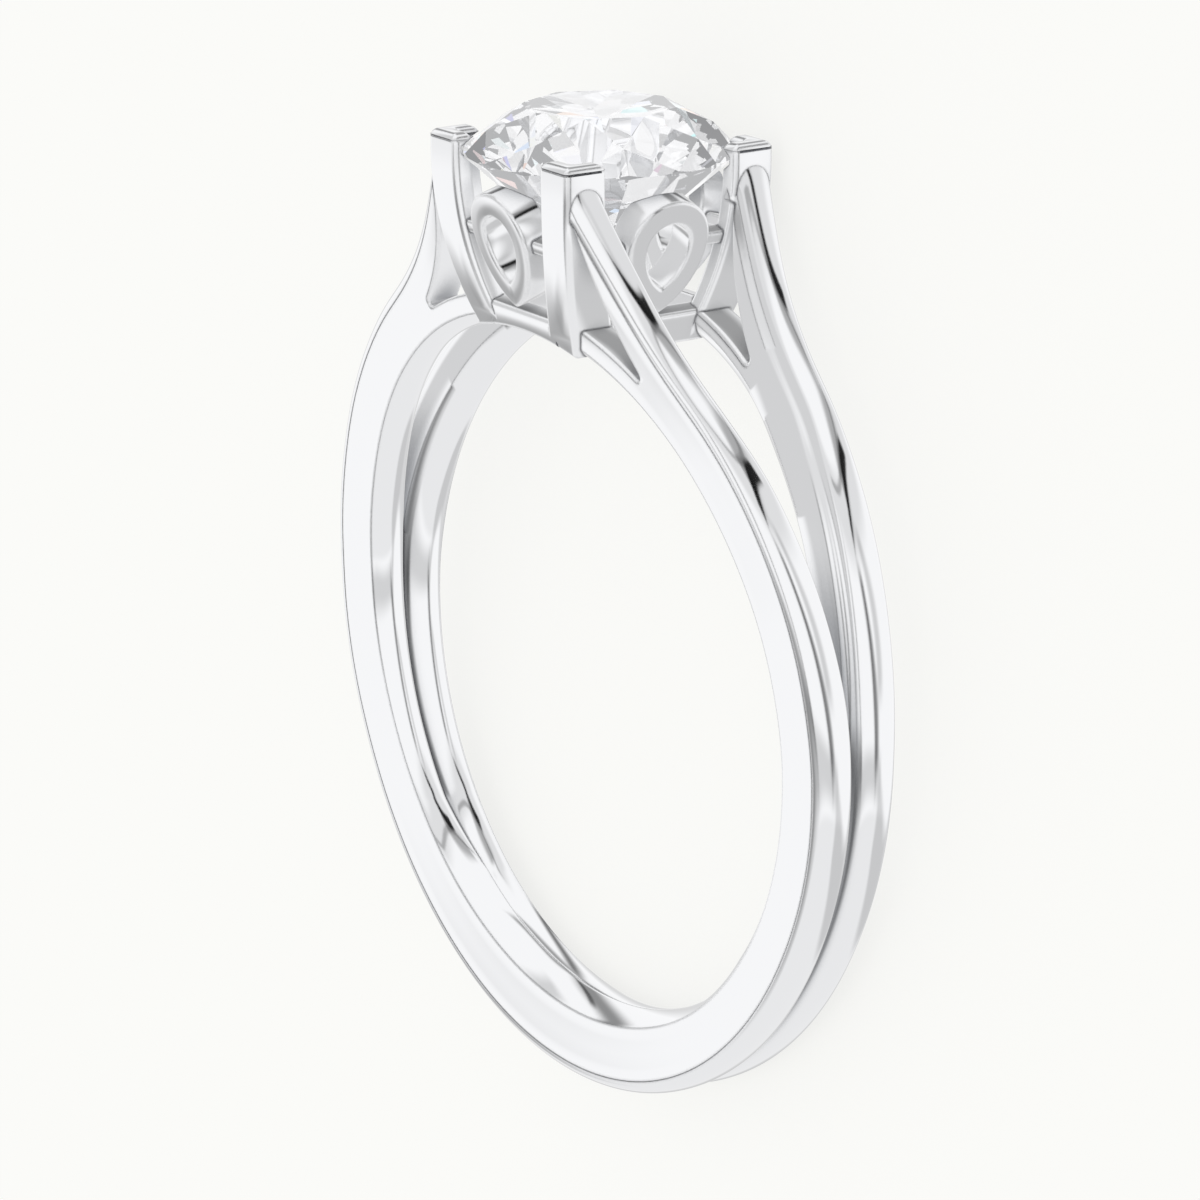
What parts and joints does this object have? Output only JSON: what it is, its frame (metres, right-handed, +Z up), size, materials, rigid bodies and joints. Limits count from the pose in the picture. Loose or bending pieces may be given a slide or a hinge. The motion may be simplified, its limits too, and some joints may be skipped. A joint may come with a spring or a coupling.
{
  "type": "split shank ring",
  "caption": "Solitaire ring with a split shank, angle-shaped corner prongs, teardrop loops in the basket and a round brilliant stone.",
  "frame": {"origin": "centre of the part's box, at the surface that it lies on", "axes": "+Z up, +Y from the stone towards the foot of the band, +X across the finger"},
  "size_m": [0.0202, 0.0234, 0.0062],
  "materials": {
    "white_gold": "high polish",
    "diamond": "faceted and polished"
  },
  "bodies": {
    "root": {"ring_mount": "white_gold", "diamond": "diamond"}
  },
  "joints": []
}
